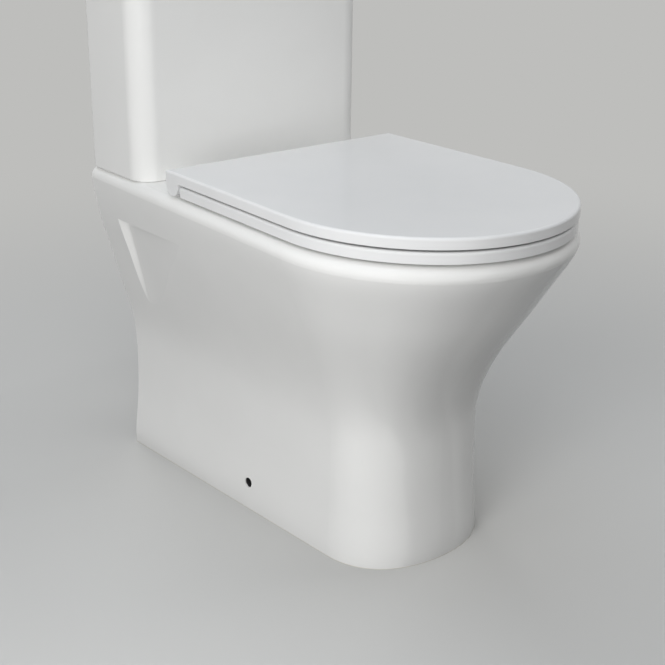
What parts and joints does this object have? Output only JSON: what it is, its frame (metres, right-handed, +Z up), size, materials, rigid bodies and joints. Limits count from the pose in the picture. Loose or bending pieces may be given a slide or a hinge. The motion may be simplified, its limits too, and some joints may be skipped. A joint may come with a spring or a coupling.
{
  "type": "back to wall toilet",
  "caption": "White close-coupled back-to-wall toilet with a flared pan, D-shaped soft-close seat and lid, and a slim cistern with a dual flush button.",
  "frame": {"origin": "on the floor, in the middle of the toilet's width and of its depth from the wall to the nose", "axes": "+Z up, +Y towards the wall, +X to the right of someone who faces the toilet"},
  "size_m": [0.3688, 0.616, 0.8085],
  "materials": {
    "white_ceramic": "glossy glaze",
    "white_seat": "polished moulding",
    "chrome": "polished plating",
    "steel": "bright zinc",
    "grey_plastic": "moulded",
    "white_plastic": "moulded",
    "pale_rubber": "soft moulding",
    "black_rubber": "matt"
  },
  "bodies": {
    "pan_and_cistern": {"pan": "white_ceramic", "bowl": "white_ceramic", "trap": "white_ceramic", "cistern": "white_ceramic", "hinge_posts": "chrome", "hinge_pins": "steel", "coupling_bolts": "steel", "coupling_washers": "steel", "wing_nuts": "steel", "hinge_nuts": "grey_plastic", "flush_valve_base": "grey_plastic", "flush_valve_nut": "grey_plastic", "flush_valve_tower": "white_plastic", "fill_valve_riser": "white_plastic", "fill_valve_nut": "white_plastic", "fill_valve_head": "white_plastic", "hinge_gaskets": "pale_rubber", "hinge_washers": "black_rubber", "coupling_seal": "black_rubber", "coupling_seals": "black_rubber", "flush_valve_gasket": "black_rubber", "fill_valve_gasket": "black_rubber"},
    "seat_ring": {"seat_ring": "white_seat", "ring_bushes": "grey_plastic", "ring_buffers": "pale_rubber"},
    "seat_lid": {"seat_lid": "white_seat", "hinge_dampers": "grey_plastic", "lid_buffers": "pale_rubber"},
    "cistern_lid": {"cistern_lid": "white_ceramic", "button_bezel": "chrome", "button_nut": "grey_plastic", "full_flush_spring": "steel", "half_flush_spring": "steel"},
    "full_button": {"full_flush_button": "chrome", "full_flush_rod": "white_plastic"},
    "half_button": {"half_flush_button": "chrome", "half_flush_rod": "white_plastic"},
    "full_plunger": {"full_flush_plunger": "grey_plastic"},
    "half_plunger": {"half_flush_plunger": "grey_plastic"},
    "overflow": {"overflow_tube": "white_plastic", "flush_seal": "black_rubber"},
    "float": {"fill_float": "white_plastic", "float_link": "white_plastic"},
    "lever": {"float_lever": "grey_plastic"}
  },
  "joints": [
    {"name": "seat_ring_hinge", "type": "hinge", "parent": "pan_and_cistern", "child": "seat_ring", "pos_m": [0, 0.113, 0.426], "axis": [-1, 0, 0], "range_deg": [0, 95]},
    {"name": "seat_lid_hinge", "type": "hinge", "parent": "seat_ring", "child": "seat_lid", "pos_m": [0, 0.113, 0.426], "axis": [1, 0, 0], "range_deg": [-95, 0]},
    {"name": "cistern_lid_lift", "type": "slide", "parent": "pan_and_cistern", "child": "cistern_lid", "axis": [0, 0, 1], "range_m": [0, 0.12]},
    {"name": "full_flush_press", "type": "slide", "parent": "cistern_lid", "child": "full_button", "axis": [0, 0, -1], "range_m": [0, 0.007], "stiffness_N_per_m": 800, "springref_m": -0.003, "deforming": ["full_flush_spring"]},
    {"name": "half_flush_press", "type": "slide", "parent": "cistern_lid", "child": "half_button", "axis": [0, 0, -1], "range_m": [0, 0.007], "stiffness_N_per_m": 800, "springref_m": -0.003, "deforming": ["half_flush_spring"]},
    {"name": "full_plunger_slide", "type": "slide", "parent": "pan_and_cistern", "child": "full_plunger", "axis": [0, 0, -1], "range_m": [0, 0.007]},
    {"name": "half_plunger_slide", "type": "slide", "parent": "pan_and_cistern", "child": "half_plunger", "axis": [0, 0, -1], "range_m": [0, 0.007]},
    {"name": "overflow_lift", "type": "slide", "parent": "pan_and_cistern", "child": "overflow", "axis": [0, 0, 1], "range_m": [0, 0.0175]},
    {"name": "float_rise", "type": "slide", "parent": "pan_and_cistern", "child": "float", "axis": [0, 0, 1], "range_m": [0, 0.016]},
    {"name": "float_lever_turn", "type": "hinge", "parent": "pan_and_cistern", "child": "lever", "pos_m": [0.128, 0.2275, 0.658], "axis": [0, 1, 0], "range_deg": [0, 23.07]}
  ],
  "couplings": [
    {"joint": "full_plunger_slide", "follows": "full_flush_press", "ratio": 1},
    {"joint": "half_plunger_slide", "follows": "half_flush_press", "ratio": 1},
    {"joint": "overflow_lift", "follows": "full_flush_press", "ratio": 2.5},
    {"joint": "float_lever_turn", "follows": "float_rise", "rad_per_m": 25.169}
  ]
}
